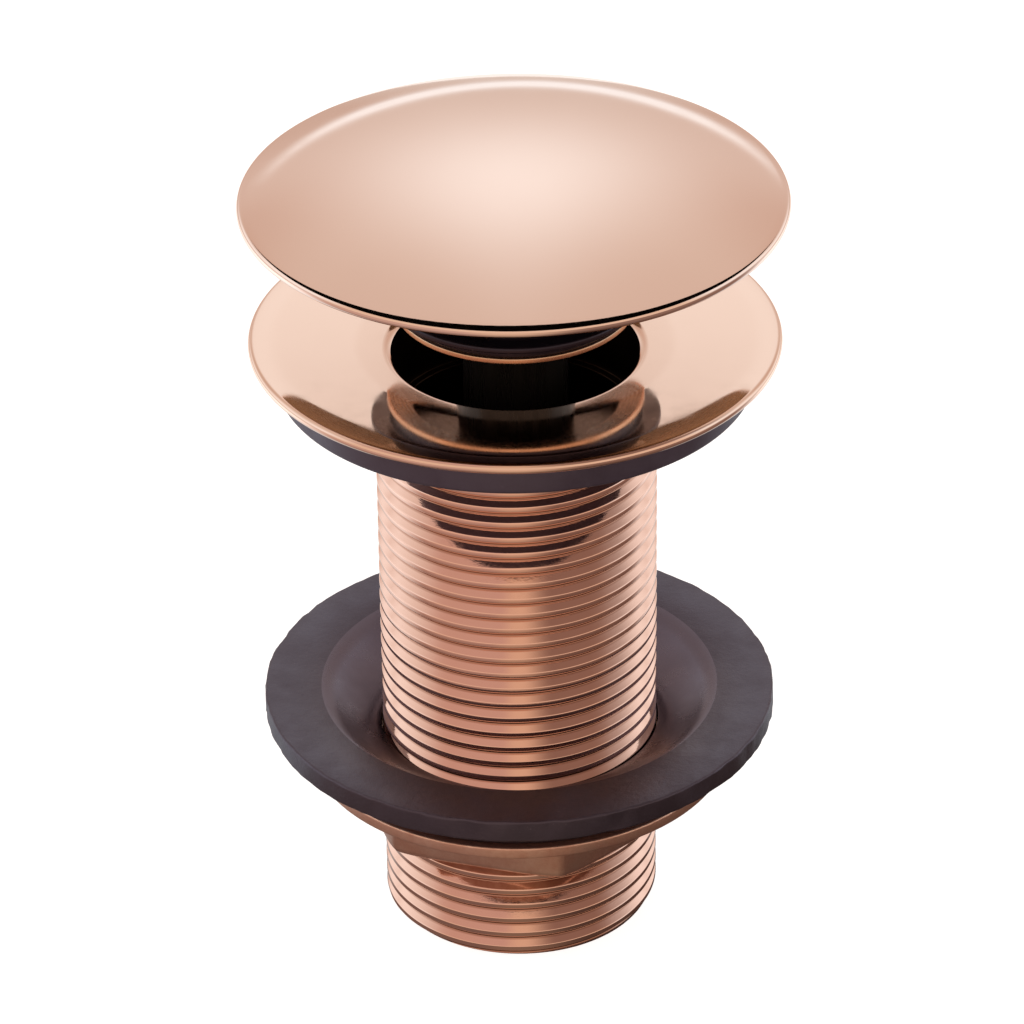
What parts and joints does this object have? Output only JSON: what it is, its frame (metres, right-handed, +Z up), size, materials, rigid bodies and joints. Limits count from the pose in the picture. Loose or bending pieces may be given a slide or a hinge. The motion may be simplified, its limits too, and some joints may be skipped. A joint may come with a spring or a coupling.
{
  "type": "pop up basin waste",
  "caption": "Push-to-close basin waste with a domed mushroom cap over a dished flange, a long threaded tail, rubber washers and a hexagon backnut.",
  "frame": {"origin": "centre of the tail's lower end", "axes": "+Z up along the tail's axis, towards the cap; -Y faces the viewer of the picture"},
  "size_m": [0.0804, 0.0804, 0.128],
  "materials": {
    "rose_gold": "polished rose-gold plate",
    "cast_brass": "dull cast face, plated",
    "turned_brass": "bare, turned",
    "rubber": "moulded, satin",
    "washer_rubber": "moulded, matt, slightly rough",
    "seal_rubber": "smooth",
    "black_plastic": "moulded, smooth",
    "steel": "plain stainless"
  },
  "bodies": {
    "waste": {"waste_body": "rose_gold", "flange_gasket": "rubber", "bridge": "black_plastic", "bridge_clip": "steel", "cam_post": "black_plastic", "post_washer": "steel", "post_nut": "turned_brass", "return_spring": "steel"},
    "plug": {"mushroom_cap": "rose_gold", "cap_stud": "turned_brass", "cap_gasket": "rubber", "stud_nut": "turned_brass", "plug_carrier": "turned_brass", "plug_seal": "seal_rubber", "seal_clamp": "turned_brass", "plunger_sleeve": "black_plastic", "sleeve_retainer": "black_plastic", "thrust_washer": "steel"},
    "follower": {"follower_ring": "turned_brass", "follower_pins": "steel"},
    "washer": {"back_washer": "washer_rubber"},
    "nut": {"backnut": "cast_brass"}
  },
  "joints": [
    {"name": "plug_slide", "type": "slide", "parent": "waste", "child": "plug", "axis": [0, 0, 1], "range_m": [-0.0092, 0], "stiffness_N_per_m": 400, "springref_m": 0.02, "deforming": ["return_spring"]},
    {"name": "follower_turn", "type": "hinge", "parent": "plug", "child": "follower", "pos_m": [0, 0, 0.0542], "axis": [0, 0, 1], "range_deg": [0, 90]},
    {"name": "washer_slide", "type": "slide", "parent": "waste", "child": "washer", "axis": [0, 0, 1], "range_m": [-0.0156, 0.0468]},
    {"name": "nut_spin", "type": "hinge", "parent": "washer", "child": "nut", "pos_m": [0, 0, 0.0235], "axis": [0, 0, 1], "range_deg": [-2161, 6481]}
  ],
  "couplings": [
    {"joint": "follower_turn", "follows": "plug_slide", "rad_per_m": -170.73},
    {"joint": "nut_spin", "follows": "washer_slide", "rad_per_m": 2416.6}
  ]
}
